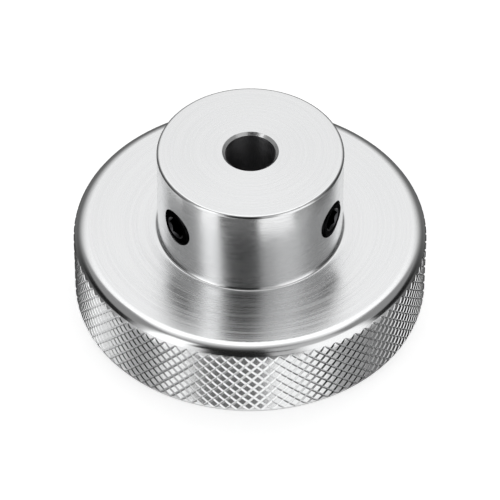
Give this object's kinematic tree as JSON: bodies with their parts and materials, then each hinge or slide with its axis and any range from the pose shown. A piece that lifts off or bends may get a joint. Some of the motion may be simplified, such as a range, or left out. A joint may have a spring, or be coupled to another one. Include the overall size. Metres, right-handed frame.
{
  "type": "machine handwheel",
  "caption": "Round handwheel with a cross-knurled rim and a plain hub, bored for a shaft and locked to it by hex-socket set screws in the hub.",
  "frame": {"origin": "centre of the rim's flat back face, on the bore's axis", "axes": "+Z along the bore, from the back face towards the hub; the set screws point to the -Y side, one towards -X and one towards +X"},
  "size_m": [0.045, 0.045, 0.0246],
  "materials": {
    "turned_aluminium": "fine turned, bright",
    "black_steel": "black oxide, lightly oiled"
  },
  "bodies": {
    "wheel": {"knurled_wheel": "turned_aluminium"},
    "left_screw": {"set_screw_left": "black_steel"},
    "right_screw": {"set_screw_right": "black_steel"}
  },
  "joints": [
    {"name": "left_screw_travel", "type": "slide", "parent": "wheel", "child": "left_screw", "axis": [-0.8368, -0.5476, 0], "range_m": [-0.0008, 0.0064]},
    {"name": "right_screw_travel", "type": "slide", "parent": "wheel", "child": "right_screw", "axis": [0.8368, -0.5476, 0], "range_m": [-0.0008, 0.0064]}
  ]
}
